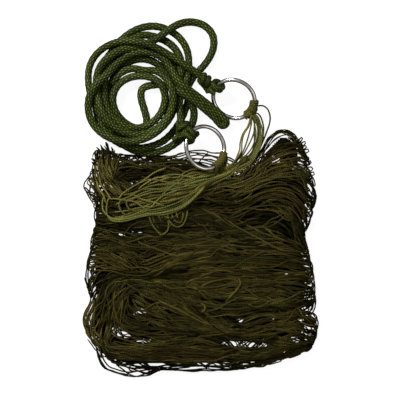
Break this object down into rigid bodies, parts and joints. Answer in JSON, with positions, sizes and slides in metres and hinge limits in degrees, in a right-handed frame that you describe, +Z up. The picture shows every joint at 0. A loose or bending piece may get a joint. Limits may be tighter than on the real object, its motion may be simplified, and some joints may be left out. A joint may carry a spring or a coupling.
{
  "type": "net hammock",
  "caption": "Knotted string net hammock folded flat, with a steel ring and a braided tie rope at each end, the ropes coiled together beside the net.",
  "frame": {"origin": "under the middle of the net, rings and knots together, on the surface that the hammock lies on", "axes": "+Z up off the surface, +Y along the folded bundle towards the rings and rope coil, +X to the right seen from above"},
  "size_m": [0.238, 0.3607, 0.03],
  "materials": {
    "steel": "polished welded wire ring",
    "rope": "dark olive green braided rope, soft, slightly shiny filaments",
    "net_string": "dark olive brown twisted cord",
    "clew_string": "lighter olive twisted cord"
  },
  "bodies": {
    "hammock": {"clew_foot_fan": "clew_string", "clew_foot_hitch": "clew_string", "clew_head_fan": "clew_string", "clew_head_hitches": "clew_string", "net_lobe_bottom": "net_string", "net_lobe_lower_left": "net_string", "net_lobe_lower_right": "net_string", "net_lobe_middle_left": "net_string", "net_lobe_middle_right": "net_string", "net_lobe_upper_left": "net_string", "net_lobe_upper_right": "net_string", "rope_coil": "rope", "rope_foot_bight": "rope", "rope_foot_knot": "rope", "rope_foot_lead": "rope", "rope_foot_outer": "rope", "rope_foot_return": "rope", "rope_head_knot": "rope", "rope_head_lead": "rope", "rope_head_loop": "rope", "rope_head_shoulder": "rope"},
    "head_ring": {"ring_head": "steel"},
    "foot_ring": {"ring_foot": "steel"}
  },
  "joints": [
    {"name": "head_ring_turn", "type": "hinge", "parent": "hammock", "child": "head_ring", "pos_m": [0.0339, 0.1269, 0.01384], "axis": [-0.2379, -0.4867, 0.8406], "continuous": true},
    {"name": "foot_ring_turn", "type": "hinge", "parent": "hammock", "child": "foot_ring", "pos_m": [0.0053, 0.0786, 0.0134], "axis": [-0.4519, -0.1271, -0.8829], "continuous": true}
  ]
}
